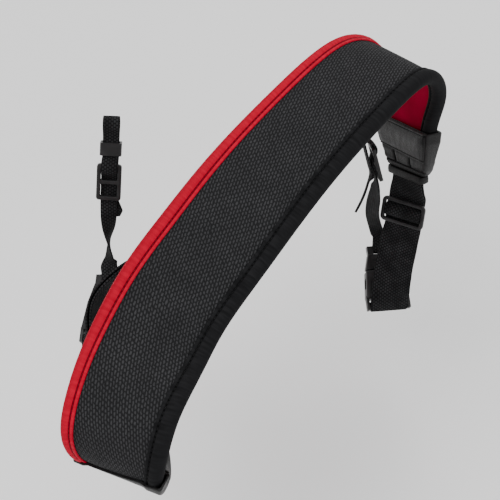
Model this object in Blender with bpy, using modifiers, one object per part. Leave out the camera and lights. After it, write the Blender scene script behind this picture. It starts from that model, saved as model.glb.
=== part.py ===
"""A camera neck strap: a padded neck band with bound edges, a leather tab at each end, wide webbing with a
three-bar slide, side-release buckles, and narrow webbing that ends in a loop for a camera's lug.

Metres, +Z up. The origin is the middle of the pad's inner face, where the pad sits on a neck. The strap keeps
the form that it has with its two narrow loops held and its pad arched: each strap piece follows a run, a smooth
line through a short table of places. At each place "across" is the direction over the strap's width, from the
red edge to the black one, "along" runs from the left buckle to the right one, and "out" leaves the neck.
"""

import math
from collections import namedtuple

import bmesh
import bpy
import numpy as np
from mathutils import Matrix, Vector

NAME = "camera_neck_strap"
MM = 0.001

# Driving sizes, in millimetres.
GAP = 0.3

PAD_WIDTH = 66.0
PAD_END_SHARE = 0.87
PAD_TAPER = 60.0
PAD_ROWS = 54
PAD_ROWS_CLOSER = 0.33
FACE_THICK = 2.4
LINING_THICK = 2.4
BINDING_WALL = 1.1
RED_BAND = 9.0
BLACK_BAND = 11.0
PAD_EDGE_INSET = 2.5

TAB_LENGTH = 26.0
LEFT_OVERLAP, RIGHT_OVERLAP = 26.0, 7.5
TAB_WALL = 1.5
TAB_END_WIDTH = 33.0
PATCH_LENGTH = 13.0
PATCH_WALL = 1.1
KEEPER_LENGTH = 5.0

WIDE_WEBBING = 25.0
WIDE_THICK = 1.6
NARROW_WEBBING = 10.0
NARROW_THICK = 1.3

SLIDE_WIDTH = 30.5
SLIDE_LENGTH = 17.0
SLIDE_THICK = 2.4
SLIDE_RAIL = 2.5
SLIDE_FROM_TAB = 25.0

BUCKLE_LENGTH = 40.0
BUCKLE_WIDTH = 29.6
BUCKLE_NECK = 19.0
BUCKLE_THICK = 8.0
BAR_RADIUS = 1.5
NARROW_BAR_RADIUS = 1.3
BAR_OUT = 1.7

ADJUSTER_WIDTH = 15.0
ADJUSTER_LENGTH = 23.0
ADJUSTER_THICK = 2.2
ADJUSTER_RAIL = 2.4
LOOP_WIDTH = 13.0
LOOP_LENGTH = 8.0
LUG_EYE_RADIUS = 4.0

# A place on a run, in millimetres, and the across direction there, in degrees: its turn from +X, seen from
# above, and its rise from the level.
Place = namedtuple("Place", "x y z turn rise")

LEFT_WEBBING = (
    Place(-108, -41, -115, -9, 15),
    Place(-107, -52, -123, -10, 17),
    Place(-106, -65, -126, -15, 24),
    Place(-107, -75, -119, -22, 34),
    Place(-110, -75, -108, -38, 46),
    Place(-114, -64, -100, -60, 55),
    Place(-114, -50, -94, -88, 60),
    Place(-110, -36, -87, -113, 60),
    Place(-100, -26, -78, -114, 61),
    Place(-86, -19, -70, -103, 64),
    Place(-72, -19, -64, -78, 68),
    Place(-63, -34, -65, -51, 66),
    Place(-63, -57, -71, -33, 61),
    Place(-69, -87, -78, -29, 54),
    Place(-77, -113, -83, -29, 47),
)
PAD = (
    Place(-85, -142, -92, -35, 23),
    Place(-89, -155, -82, -33, 17),
    Place(-91, -157, -65, -26, 10),
    Place(-86, -143, -41, -22, 6),
    Place(-73, -112, -29, -20, -11),
    Place(-60, -88, -19, -25, -22),
    Place(-41, -59, -11, -28, -24),
    Place(-20, -28, -4, -33, -17),
    Place(0, -1, 2.5, -37, -9),
    Place(23, 27, 9, -40, -4),
    Place(46, 54, 13, -40, 0),
    Place(67, 79, 6, -41, 6),
    Place(84, 94, -28, -56, 14),
    Place(84, 84, -62, -60, 27),
)
RIGHT_WEBBING = (
    Place(86, 73, -89, -48, 12),
    Place(85, 62, -114, -30, 6),
    Place(78, 40, -151, -12, 0),
    Place(76, 27, -170, 5, -7),
)
LEFT_STRAND = (
    Place(-104, -2, -104, -9, 15),
    Place(-105, 8, -82, -86, 31),
    Place(-104, 15, -66, -158, 6),
    Place(-103, 22, -53, 180, 0),
    Place(-102, 29, -40, 180, 0),
    Place(-101, 36, -29, 180, 0),
    Place(-100, 47, -11, 180, 0),
)
LEFT_TAIL = (
    Place(-103, 22, -57, 180, 0),
    Place(-101, 20, -62, 178, 0),
    Place(-99, 19, -69, 174, 0),
)
RIGHT_STRAND = (
    Place(71, 65, -156, 0, 0),
    Place(68, 68, -143, -21, 24),
    Place(63.5, 63, -121, -43, 39),
    Place(62, 55, -97, -56, 45),
    Place(61, 50, -71, -79, 50),
    Place(57, 56, -55, -90, 50),
    Place(50, 63, -41, -90, 46),
    Place(36, 65, -27, -90, 22),
    Place(17, 64, -11, -90, 0),
)
RIGHT_TAIL = (
    Place(57, 45, -67, -90, 50),
    Place(54, 38, -72, -90, 50),
    Place(49, 30, -78, -90, 50),
)


def heading(turn, rise):
    """The unit vector at these angles, in degrees."""
    turn, rise = math.radians(turn), math.radians(rise)
    return (math.cos(rise) * math.cos(turn), math.cos(rise) * math.sin(turn), math.sin(rise))


def unit(vectors):
    return vectors / np.linalg.norm(vectors, axis=-1, keepdims=True)


class Spline:
    """A natural cubic curve through values at knots."""

    def __init__(self, knots, values):
        self.knots, self.values = np.asarray(knots, float), np.asarray(values, float)
        count, gap = len(knots), np.diff(knots)
        slopes = np.diff(self.values, axis=0) / gap[:, None]
        system, right = np.eye(count), np.zeros_like(self.values)
        for i in range(1, count - 1):
            system[i, i - 1 : i + 2] = gap[i - 1], 2 * (gap[i - 1] + gap[i]), gap[i]
            right[i] = 6 * (slopes[i] - slopes[i - 1])
        self.bends = np.linalg.solve(system, right)

    def __call__(self, at):
        at = np.atleast_1d(np.asarray(at, float))
        i = np.clip(np.searchsorted(self.knots, at) - 1, 0, len(self.knots) - 2)
        gap = (self.knots[i + 1] - self.knots[i])[:, None]
        b = (at[:, None] - self.knots[i][:, None]) / gap
        a = 1 - b
        low, high = self.values[i], self.values[i + 1]
        bend = (a**3 - a) * self.bends[i] + (b**3 - b) * self.bends[i + 1]
        return a * low + b * high + bend * gap**2 / 6


class Run:
    """A smooth line through places, read by the distance along it, in millimetres."""

    SAMPLES = 1200
    NUDGE = 0.5
    EASE = 6.0

    def __init__(self, places):
        points = np.array([(p.x, p.y, p.z) for p in places], float)
        across = np.array([heading(p.turn, p.rise) for p in places])
        knots = np.concatenate([[0], np.cumsum(np.linalg.norm(np.diff(points, axis=0), axis=1))])
        self.place, self.across = Spline(knots, points), Spline(knots, across)
        self.fine = np.linspace(0, knots[-1], self.SAMPLES)
        steps = np.linalg.norm(np.diff(self.place(self.fine), axis=0), axis=1)
        self.distances = np.concatenate([[0], np.cumsum(steps)])
        self.rows = np.interp(knots, self.fine, self.distances)
        self.length = self.distances[-1]
        self.holds = []

    def hold(self, distance, half_length, across=None, place=None):
        """Keeps the run straight and untwisted beside a hard piece, and square to it."""
        own_place, along, own, _ = (each[0] for each in self.frames(distance))
        place = own_place if place is None else place
        if across is None:
            across = unit(own - (own @ along) * along)
        else:
            along = unit(along - (along @ across) * across)
        self.holds.append((distance, half_length, place, along, across))

    def frames(self, distances):
        """Arrays of places and of the along, across and out directions. Past an end the run goes on straight."""
        distances = np.atleast_1d(np.asarray(distances, float))
        inside = np.clip(distances, 0, self.length)
        at = np.interp(inside, self.distances, self.fine)
        ahead = self.place(np.minimum(at + self.NUDGE, self.fine[-1]))
        behind = self.place(np.maximum(at - self.NUDGE, 0))
        along = unit(ahead - behind)
        across = unit(self.across(at))
        place = self.place(at) + along * (distances - inside)[:, None]
        for middle, half, held, way, over in self.holds:
            near = np.clip((half + self.EASE - np.abs(distances - middle)) / self.EASE, 0, 1)
            near = (near * near * (3 - 2 * near))[:, None]
            place = place * (1 - near) + (held + way * (distances - middle)[:, None]) * near
            along = unit(along * (1 - near) + way * near)
            across = unit(across * (1 - near) + over * near)
        return place, along, across, unit(np.cross(across, along))

    def matrix(self, distance, out=0.0):
        """Local X across, Y along and Z out, with the origin on the run, in metres."""
        place, along, _, outward = (each[0] for each in self.frames(distance))
        return square_matrix(place + out * outward, along, outward)


def square_matrix(place, along, out):
    """A frame at a place in millimetres: X across, Y along and Z out."""
    columns = np.eye(4)
    columns[:3, 0], columns[:3, 1], columns[:3, 2] = np.cross(along, out), along, out
    columns[:3, 3] = place * MM
    return Matrix(columns.tolist())


def material(name, colour, roughness, metallic=0.0):
    made = bpy.data.materials.new(name)
    made.use_nodes = True
    shader = made.node_tree.nodes["Principled BSDF"]
    shader.inputs["Base Color"].default_value = (*colour, 1.0)
    shader.inputs["Roughness"].default_value = roughness
    shader.inputs["Metallic"].default_value = metallic
    return made


def add_object(name, mesh, collection, finish=None, matrix=None):
    made = bpy.data.objects.new(name, mesh)
    collection.objects.link(made)
    if finish:
        mesh.materials.append(finish)
    if matrix:
        made.matrix_world = matrix
    return made


def mesh_from(name, bm):
    bmesh.ops.recalc_face_normals(bm, faces=bm.faces)
    if bm.calc_volume(signed=True) < 0:
        bmesh.ops.reverse_faces(bm, faces=bm.faces)
    mesh = bpy.data.meshes.new(name)
    bm.to_mesh(mesh)
    bm.free()
    mesh.shade_smooth()
    mesh.set_sharp_from_angle(angle=math.radians(35))
    return mesh


def loft(name, rings, across, hollow=False, falling=()):
    """A closed mesh through rings of points, in millimetres. across is each point's place over the width: every
    side is split on the diagonal that climbs with it, so that the faces of nested pieces stay parallel. falling
    holds the numbers of the spans that travel back along their run. A hollow mesh's rings are an outline and
    then, as many points again, the outline of its bore."""
    bm = bmesh.new()
    rows = [[bm.verts.new([c * MM for c in point]) for point in ring] for ring in rings]
    count = len(rings[0])
    loops = [(0, count // 2), (count // 2, count)] if hollow else [(0, count)]
    for k, (low, high) in enumerate(zip(rows, rows[1:])):
        for start, stop in loops:
            for i in range(start, stop):
                j = i + 1 if i + 1 < stop else start
                climbs = across[j] > across[i]
                if climbs != (k in falling):
                    bm.faces.new((low[i], low[j], high[j]))
                    bm.faces.new((low[i], high[j], high[i]))
                else:
                    bm.faces.new((low[i], low[j], high[i]))
                    bm.faces.new((low[j], high[j], high[i]))
    for row in (rows[0], rows[-1]):
        if not hollow:
            bm.faces.new(row)
            continue
        half = count // 2
        for i in range(half):
            j = (i + 1) % half
            bm.faces.new((row[i], row[j], row[half + j], row[half + i]))
    return mesh_from(name, bm)


def swept(name, run, distances, outlines, hollow=False):
    """A mesh along a run, through one outline of (across, out) points for each distance."""
    place, _, across, out = run.frames(distances)
    rings = []
    for i, outline in enumerate(outlines):
        rings.append([place[i] + a * across[i] + o * out[i] for a, o in outline])
    return loft(name, rings, [a for a, _ in outlines[0]], hollow)


def rounded_box(half_width, half_height, corner):
    """An outline of 8 points: a box with its corners cut off."""
    w, h, c = half_width, half_height, corner
    return [(-w, c - h), (c - w, -h), (w - c, -h), (w, c - h), (w, h - c), (w - c, h), (c - w, h), (-w, h - c)]


# The pad.


def pad_share(beyond):
    """The pad's width, as a share of its full width, by how far beyond its end a place lies."""
    ease = min(1.0, max(0.0, -beyond / PAD_TAPER))
    return PAD_END_SHARE + (1 - PAD_END_SHARE) * math.sin(ease * math.pi / 2)


def pad_layer(low, high):
    """The outline of a flat layer of the pad, between two heights, with a point under each binding's hem."""
    edge = PAD_WIDTH / 2 - PAD_EDGE_INSET
    columns = [-edge, RED_BAND - PAD_WIDTH / 2, PAD_WIDTH / 2 - BLACK_BAND, edge]
    return [(a, low) for a in columns] + [(a, high) for a in reversed(columns)]


def binding(band, side):
    """The outline of the bound edge: a wall folded round the pad's edge, with a round nose."""
    nose, half = PAD_WIDTH / 2, PAD_WIDTH / 2 - band
    inner = FACE_THICK + 1.5 * GAP
    outer = inner + BINDING_WALL
    slot = nose - PAD_EDGE_INSET + 2 * GAP
    turn = [math.radians(angle) for angle in (90, 45, 0, -45, -90)]
    arc = [(nose - outer + outer * math.cos(a), outer * math.sin(a)) for a in turn]
    points = [(half, inner), (half, outer), *arc, (half, -outer), (half, -inner), (slot, -inner), (slot, inner)]
    return [(side * a, o) for a, o in points]


def pad_rows(start, stop):
    """The distances of the pad's rows, closer together towards its ends, where it bends most."""
    even = np.linspace(-1, 1, PAD_ROWS)
    eased = even * (1 + PAD_ROWS_CLOSER) - PAD_ROWS_CLOSER * even**3
    return (start + stop) / 2 + (stop - start) / 2 * eased


def pad_pieces(run, rows, collection):
    seam = GAP / 2
    layers = {
        "top_panel": (pad_layer(seam, seam + FACE_THICK), FINISHES["fabric"]),
        "lining": (pad_layer(-seam - LINING_THICK, -seam), FINISHES["lining"]),
        "red_binding": (binding(RED_BAND, -1), FINISHES["red"]),
        "black_binding": (binding(BLACK_BAND, 1), FINISHES["black"]),
    }
    shares = [pad_share(max(rows[0] - at, at - rows[-1])) for at in rows]
    for name, (outline, finish) in layers.items():
        outlines = [[(a * share, o) for a, o in outline] for share in shares]
        add_object(name, swept(name, run, rows, outlines), collection, finish)


# The leather tabs. Beyond is how far a place lies past the pad's end, towards the webbing.


def past_pad(beyond):
    return min(1.0, max(0.0, beyond / TAB_LENGTH))


def tab_half_width(beyond):
    wide = PAD_WIDTH / 2 * pad_share(beyond) + 2 * GAP + TAB_WALL
    return wide + (TAB_END_WIDTH / 2 - wide) * past_pad(beyond) ** 1.15


def tab_half_height(beyond):
    thick = FACE_THICK + 1.5 * GAP + BINDING_WALL + GAP + TAB_WALL
    thin = WIDE_THICK / 2 + 2 * GAP + TAB_WALL
    return thick + (thin - thick) * past_pad(beyond)


def tab_box(half_width, half_height, corner):
    """A box with its corners cut off and a point in line with each of the pad's hems."""
    w, h, c = half_width, half_height, corner
    red, black = (1 - 2 * RED_BAND / PAD_WIDTH) * w, (1 - 2 * BLACK_BAND / PAD_WIDTH) * w
    low = [(-w, c - h), (c - w, -h), (-red, -h), (black, -h), (w - c, -h), (w, c - h)]
    return low + [(a, -o) for a, o in reversed(low)]


def tab_pieces(side, run, edge, way, rows, collection):
    """A sleeve of leather over the pad's end and the sewn end of the webbing, with a patch on its inner face
    and a keeper band round its end. way is 1 where the webbing leaves towards larger distances."""
    overlap = LEFT_OVERLAP if side == "left" else RIGHT_OVERLAP
    on_pad = sorted(way * (at - edge) for at in rows if way * (at - edge) > -overlap)
    beyond = on_pad + [4.0, 8.0, 12.0, 16.0, 21.0, TAB_LENGTH]
    outlines = []
    for at in beyond:
        width, height = tab_half_width(at), tab_half_height(at)
        outlines.append(tab_box(width, height, 1.6) + tab_box(width - TAB_WALL, height - TAB_WALL, 0.9))
    name = f"leather_tab_{side}"
    mesh = swept(name, run, edge + way * np.array(beyond), outlines, hollow=True)
    add_object(name, mesh, collection, FINISHES["leather"])

    beyond = [at for at in beyond if at <= PATCH_LENGTH]
    outlines = []
    for at in beyond:
        width, high = tab_half_width(at) - 1.6, -tab_half_height(at) - GAP
        columns = [-width, (2 * RED_BAND / PAD_WIDTH - 1) * (width + 1.6)]
        columns += [(1 - 2 * BLACK_BAND / PAD_WIDTH) * (width + 1.6), width]
        outlines.append([(a, high - PATCH_WALL) for a in columns] + [(a, high) for a in reversed(columns)])
    name = f"tab_patch_{side}"
    mesh = swept(name, run, edge + way * np.array(beyond), outlines)
    add_object(name, mesh, collection, FINISHES["leather"])

    height = 2 * (WIDE_THICK + 2 * GAP + TAB_WALL)
    size = (TAB_END_WIDTH - 1.0, KEEPER_LENGTH, height, TAB_WALL)
    at = edge + way * (TAB_LENGTH + GAP + KEEPER_LENGTH / 2)
    band_ring(f"keeper_band_{side}", run.matrix(at, -0.8), size, FINISHES["leather"], collection)


# Webbing. A route is a list of (along, out, over) points beside a run: how far along it, how far out from it,
# and how far over towards the black edge.


def arc_route(centre, radius, start, stop, steps):
    """Points round a bar across the run, by the angle from along towards out, in degrees."""
    angles = np.radians(np.linspace(start, stop, steps))
    return [(centre[0] + radius * math.cos(a), centre[1] + radius * math.sin(a), 0.0) for a in angles]


def flat_route(first, last, out, step):
    """Points at an even height, at the whole steps of the run between two distances, and at the first one, so
    that layers over one another have their points in line."""
    low, high = sorted((first, last))
    whole = [k * step for k in range(math.ceil((low + 1.0) / step), math.floor((high - 1.0) / step) + 1)]
    return [(at, out, 0) for at in [first] + (whole if first < last else whole[::-1])]


def beside(run, route):
    """The places of a route beside a run, the directions square over the run there, and the spans that travel
    back along it."""
    route = np.array(route, float)
    place, along, across, out = run.frames(route[:, 0])
    falling = {k for k in range(len(route) - 1) if route[k + 1, 0] < route[k, 0]}
    return place + out * route[:, 1:2] + across * route[:, 2:3], np.cross(along, out), falling


def strip(name, middle, over, falling, width, thick, finish, collection, tip=0.0):
    """A flat strip along a line of places. Its last corners are cut back by tip, for a pointed end."""
    up = unit(np.cross(over, np.gradient(middle, axis=0)))
    rings = []
    for i in range(len(middle)):
        half = width / 2 if i < len(middle) - 1 or not tip else width / 2 - tip
        w, h = over[i] * half, up[i] * thick / 2
        rings.append([middle[i] - w - h, middle[i] + w - h, middle[i] + w + h, middle[i] - w + h])
    add_object(name, loft(name, rings, (-1, 1, 1, -1), falling=falling), collection, finish)


def wide_webbing(side, run, tab, bar, way, collection):
    """Sewn in the tab, down past the slide, once round the buckle's bar, and back up over the slide's middle
    bar, to a tail that the keeper band holds. Behind the slide the first layer passes it flat."""
    inner = 0.3
    front = inner - WIDE_THICK - 2 * GAP
    plane = slide_plane()
    over_slide = plane - SLIDE_THICK / 2 - 1.5 * GAP - WIDE_THICK / 2
    slide = tab + way * SLIDE_FROM_TAB
    wrap = BAR_RADIUS + GAP + WIDE_THICK / 2
    step = 4.5

    route = flat_route(tab - way * 10.0, bar - way * 6.5, inner, step) + [(bar - way * 6.5, inner, 0)]
    route += [(bar - way * (wrap + 1.4), inner + 0.1, 0), (bar - way * (wrap + 0.3), inner + 0.7, 0)]
    turn = arc_route((0, BAR_OUT), wrap, 180, -90, 10)[1:]
    route += [(bar + way * along, out, 0) for along, out, _ in turn]
    route += [(bar - way * 4.0, front, 0)] + flat_route(bar - way * 6.5, slide + way * 9.0, front, step)
    rail = SLIDE_RAIL / 2
    for end in (1, -1):
        climb = [(slide + way * end * 6.4, front, 0), (slide + way * end * 5.6, front - 0.15, 0)]
        climb += [(slide + way * end * (rail + 0.3), over_slide + 0.1, 0), (slide + way * end * 0.5, over_slide, 0)]
        route += climb if end > 0 else climb[::-1]
    route += flat_route(slide - way * 9.0, tab, front, step)
    route += [(tab - way * 3.5, front, 0)]
    middle, over, falling = beside(run, route)
    name = f"wide_webbing_{side}"
    strip(name, middle, over, falling, WIDE_WEBBING, WIDE_THICK, FINISHES["webbing"], collection)


def slide_plane():
    """How far out from the run the slide's middle plane lies: its rails clear the layer behind them."""
    front = 0.3 - WIDE_THICK - 2 * GAP
    return front - WIDE_THICK / 2 - 2 * GAP - SLIDE_THICK / 2


# Hard pieces, in their own frame: X across, Y along, Z out.


def box_mesh(name, size, centre=(0, 0, 0), taper=1.0):
    """A box in millimetres. taper scales the width at its +Y end."""
    bm = bmesh.new()
    bmesh.ops.create_cube(bm, size=1.0)
    for vert in bm.verts:
        share = taper if vert.co.y > 0 else 1.0
        vert.co = Vector(centre) * MM + Vector(vert.co[i] * size[i] * MM for i in range(3))
        vert.co.x = centre[0] * MM + (vert.co.x - centre[0] * MM) * share
    return mesh_from(name, bm)


def bevel(target, width, segments=2):
    modifier = target.modifiers.new("rounded", "BEVEL")
    modifier.width = width * MM
    modifier.segments = segments
    modifier.limit_method = "ANGLE"
    modifier.angle_limit = math.radians(40)


def boolean(target, other, operation):
    modifier = target.modifiers.new(operation.lower(), "BOOLEAN")
    modifier.operation = operation
    modifier.object = other


def helper(name, mesh, matrix):
    made = add_object(name, mesh, CUTTERS, matrix=matrix)
    made.hide_render = True
    made.display_type = "WIRE"
    return made


def three_bar_slide(name, matrix, width, length, thick, rail, finish, collection):
    """A flat frame with a middle bar and a slot each side of it."""
    frame = add_object(name, box_mesh(name, (width, length, thick)), collection, finish, matrix)
    bevel(frame, 0.8 if rail < 2.45 else 1.0)
    slot = (length - 3 * rail) / 2
    for end in (-1, 1):
        size = (width - 2 * rail, slot, 4 * thick)
        centre = (0, end * (rail + slot) / 2, 0)
        cutter = helper(f"{name}_slot", box_mesh("slot", size, centre), matrix)
        boolean(frame, cutter, "DIFFERENCE")
    return frame


def band_ring(name, matrix, size, finish, collection):
    """A small closed band round the webbing. size is its width, length, height and wall."""
    width, length, height, wall = size
    outline = rounded_box(width / 2, height / 2, 0.8) + rounded_box(width / 2 - wall, height / 2 - wall, 0.3)
    rings = [[(a, y, o) for a, o in outline] for y in (-length / 2, length / 2)]
    mesh = loft(name, rings, [a for a, _ in outline], hollow=True)
    add_object(name, mesh, collection, finish, matrix)


def bar_mesh(name, radius, length, at):
    """A round bar across the strap."""
    bm = bmesh.new()
    spin = Matrix.Translation(Vector(at) * MM) @ Matrix.Rotation(math.radians(90), 4, "Y")
    bmesh.ops.create_cone(
        bm, cap_ends=True, segments=12, radius1=radius * MM, radius2=radius * MM, depth=length * MM, matrix=spin
    )
    return mesh_from(name, bm)


def buckle(side, matrix, collection):
    """A fastened side-release buckle from its wide bar, at the local origin, along local +Y to its narrow bar.
    Each half holds its bar between two arms, and the plug's tongue stands in the socket's mouth."""
    finish = FINISHES["plastic"]
    shell_start, shell_stop, arm = 5.2, 25.0, 1.8
    waist, sunk = 0.84, -0.8
    name = f"buckle_socket_{side}"
    shell_length = shell_stop - shell_start
    at = (0, shell_start + shell_length / 2, sunk)
    shell = box_mesh(name, (BUCKLE_WIDTH, shell_length, BUCKLE_THICK), at, waist)
    socket = add_object(name, shell, collection, finish, matrix)
    bevel(socket, 1.2)
    ends(socket, name, matrix, BUCKLE_WIDTH, arm, 4.4, -2.4, shell_start + 2.0)
    rod = helper(f"{name}_bar", bar_mesh("bar", BAR_RADIUS, BUCKLE_WIDTH - arm, (0, 0, 0)), matrix)
    boolean(socket, rod, "UNION")
    mouth_size = (BUCKLE_WIDTH * waist - 6.0, 15.0, 4.6)
    mouth = helper(f"{name}_mouth", box_mesh("mouth", mouth_size, (0, shell_stop - 5.0, sunk)), matrix)
    boolean(socket, mouth, "DIFFERENCE")
    for end in (-1, 1):
        at = (end * BUCKLE_WIDTH / 2, shell_start + 11.0, sunk)
        window = helper(f"{name}_window", box_mesh("window", (9.0, 7.0, 4.0), at), matrix)
        boolean(socket, window, "DIFFERENCE")

    name = f"buckle_plug_{side}"
    plug_start, plug_stop = shell_stop + GAP, BUCKLE_LENGTH - 3.6
    plug_length = plug_stop - plug_start
    wide = BUCKLE_WIDTH * waist
    at = (0, plug_start + plug_length / 2, sunk / 2)
    head = box_mesh(name, (wide, plug_length, 5.6), at, BUCKLE_NECK / wide)
    plug = add_object(name, head, collection, finish, matrix)
    bevel(plug, 0.9)
    arm = (BUCKLE_NECK - NARROW_WEBBING - 1.0) / 2
    ends(plug, name, matrix, BUCKLE_NECK - 0.4, arm, 3.8, plug_stop - 1.5, BUCKLE_LENGTH + 2.0)
    at = (0, BUCKLE_LENGTH, 0)
    rod = helper(f"{name}_bar", bar_mesh("bar", NARROW_BAR_RADIUS, BUCKLE_NECK - arm, at), matrix)
    boolean(plug, rod, "UNION")
    tongue_size = (mouth_size[0] - 2 * GAP, 12.0, mouth_size[2] - 2 * GAP)
    tongue = helper(f"{name}_tongue", box_mesh("tongue", tongue_size, (0, plug_start - 4.0, sunk)), matrix)
    boolean(plug, tongue, "UNION")


def ends(target, name, matrix, width, arm, thick, start, stop):
    """Joins two arms to a piece of the buckle, flush with a width, between two places along it."""
    for end in (-1, 1):
        at = (end * (width - arm) / 2, (start + stop) / 2, 0)
        joined = helper(f"{name}_arm", box_mesh("arm", (arm, stop - start, thick), at), matrix)
        boolean(target, joined, "UNION")


def lug_strand(side, run, tail, adjuster, loop, collection):
    """Narrow webbing: sewn round the plug's bar, up to the adjuster, through its upper slot and over its end,
    on to the eye for the camera's lug, and back behind the adjuster to a free tail."""
    behind = 1.0
    front = -behind
    wrap = NARROW_BAR_RADIUS + GAP + NARROW_THICK / 2
    eye = run.length - LUG_EYE_RADIUS
    plane = front - NARROW_THICK / 2 - 2 * GAP - ADJUSTER_THICK / 2
    over = plane - ADJUSTER_THICK / 2 - GAP - NARROW_THICK / 2 - 0.1
    end = ADJUSTER_LENGTH / 2
    sewn = front - NARROW_THICK - GAP
    step = 4.5
    route = [(13.0, sewn, 0), (8.5, sewn, 0), (4.5, -2.1, 0)]
    route += arc_route((0.0, 0.0), wrap, -60, -300, 9)
    route += [(4.5, 1.0, 0), (8.5, -0.2, 0), (13.0, front, 0)]
    route += flat_route(16.0, adjuster + 0.8, front, step)
    route += [(adjuster + 0.8, front, 0), (adjuster + 2.6, front - 0.4, 0)]
    route += [(adjuster + end - 2.9, over + 0.1, 0), (adjuster + end - 1.0, over, 0)]
    route += [(adjuster + end + 1.0, over + 0.9, 0)]
    route += flat_route(adjuster + end + 4.4, eye - 8.0, front, step)
    route += [(eye - 8.0, front, 0), (eye - 4.6, front - 0.9, 0)]
    route += arc_route((eye, 0.0), LUG_EYE_RADIUS, -115, 115, 10)
    route += [(eye - 4.6, behind + 0.9, 0)]
    route += flat_route(eye - 8.0, adjuster - end + 1.0, behind, step)
    middle, across, falling = beside(run, route)
    free, free_across, _ = beside(tail, [(at, 0, 0) for at in np.linspace(0, tail.length, 5)])
    middle, across = np.vstack([middle, free]), np.vstack([across, free_across])
    falling |= set(range(len(route) - 1, len(middle)))
    name = f"narrow_webbing_{side}"
    finish = FINISHES["webbing"]
    strip(name, middle, across, falling, NARROW_WEBBING, NARROW_THICK, finish, collection, tip=2.5)

    size = (ADJUSTER_WIDTH, ADJUSTER_LENGTH, ADJUSTER_THICK, ADJUSTER_RAIL)
    three_bar_slide(f"adjuster_{side}", run.matrix(adjuster, plane), *size, FINISHES["plastic"], collection)
    size = (LOOP_WIDTH, LOOP_LENGTH, 2 * (behind + NARROW_THICK / 2 + GAP + 1.3), 1.1)
    band_ring(f"loop_{side}", run.matrix(loop), size, FINISHES["plastic"], collection)


def main():
    strap = Run(LEFT_WEBBING + PAD + RIGHT_WEBBING)
    pad_start = strap.rows[len(LEFT_WEBBING)]
    pad_stop = strap.rows[len(LEFT_WEBBING) + len(PAD) - 1]
    rows = pad_rows(pad_start + 0.5, pad_stop - 0.5)
    pad_pieces(strap, rows, PARTS)

    sides = (
        ("left", pad_start, -1, 0.0, Run(LEFT_STRAND), Run(LEFT_TAIL), 66.0, 86.0),
        ("right", pad_stop, 1, strap.length, Run(RIGHT_STRAND), Run(RIGHT_TAIL), 102.0, 124.0),
    )
    for side, edge, way, bar, strand, tail, adjuster, loop in sides:
        tab = edge + way * (TAB_LENGTH + KEEPER_LENGTH)
        slide = tab + way * SLIDE_FROM_TAB
        bar_place, _, across, out = (each[0] for each in strap.frames(bar))
        bar_place = bar_place + BAR_OUT * out
        up = unit(strand.frames(0.0)[0][0] - bar_place)
        across = unit(across - (across @ up) * up)
        strap.hold(bar, 6.0, across)
        strap.hold(slide, SLIDE_LENGTH / 2 + 1.5)
        strap.hold(tab - way * KEEPER_LENGTH / 2, KEEPER_LENGTH / 2 + 2.0)
        strand.hold(0.0, 8.0, across, bar_place + BUCKLE_LENGTH * up)
        strand.hold(adjuster, ADJUSTER_LENGTH / 2 + 1.5)
        strand.hold(loop, LOOP_LENGTH / 2)
        strand.hold(strand.length, 2.5 * LUG_EYE_RADIUS)

        tab_pieces(side, strap, edge, way, rows, PARTS)
        wide_webbing(side, strap, tab, bar, way, PARTS)
        size = (SLIDE_WIDTH, SLIDE_LENGTH, SLIDE_THICK, SLIDE_RAIL)
        at = strap.matrix(slide, slide_plane())
        three_bar_slide(f"slide_{side}", at, *size, FINISHES["plastic"], PARTS)
        buckle(side, square_matrix(bar_place, up, np.cross(across, up)), PARTS)
        lug_strand(side, strand, tail, adjuster, loop, PARTS)


for old in list(bpy.data.objects):
    bpy.data.objects.remove(old)

PARTS = bpy.data.collections.new(NAME)
CUTTERS = bpy.data.collections.new("cutters")
for group in (PARTS, CUTTERS):
    bpy.context.scene.collection.children.link(group)

FINISHES = {
    "fabric": material("textured black fabric", (0.022, 0.022, 0.024), 0.75),
    "red": material("red binding", (0.65, 0.015, 0.03), 0.6),
    "lining": material("red lining", (0.45, 0.01, 0.02), 0.7),
    "black": material("black binding", (0.012, 0.012, 0.013), 0.6),
    "leather": material("black leather", (0.03, 0.029, 0.03), 0.45),
    "webbing": material("black webbing", (0.015, 0.015, 0.016), 0.8),
    "plastic": material("black plastic", (0.03, 0.03, 0.031), 0.35),
}

main()
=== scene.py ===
"""The camera neck strap as it looks: a padded band in woven fabric with bound edges, leather end tabs,
webbing, and moulded slides and buckles. Sizes are in millimetres, as in the CAD part, and meshes in
metres."""

import math
from collections import namedtuple
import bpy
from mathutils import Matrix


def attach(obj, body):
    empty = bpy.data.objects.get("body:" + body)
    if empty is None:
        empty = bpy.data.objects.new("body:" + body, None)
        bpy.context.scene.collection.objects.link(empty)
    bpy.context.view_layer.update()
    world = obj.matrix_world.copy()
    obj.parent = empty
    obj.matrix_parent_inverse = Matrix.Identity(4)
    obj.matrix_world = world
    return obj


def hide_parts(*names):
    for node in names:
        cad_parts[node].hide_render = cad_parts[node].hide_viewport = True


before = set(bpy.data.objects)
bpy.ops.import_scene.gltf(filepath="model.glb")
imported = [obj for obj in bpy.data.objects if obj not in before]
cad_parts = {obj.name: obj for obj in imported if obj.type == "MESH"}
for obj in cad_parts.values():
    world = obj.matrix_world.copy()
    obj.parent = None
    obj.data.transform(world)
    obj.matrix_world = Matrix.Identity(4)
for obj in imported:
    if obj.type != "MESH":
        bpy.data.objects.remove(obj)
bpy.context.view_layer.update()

import bpy
import numpy as np
from mathutils import Matrix, Vector

MM = 0.001

# Driving sizes, in millimetres, as in the CAD part.
GAP = 0.3

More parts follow.
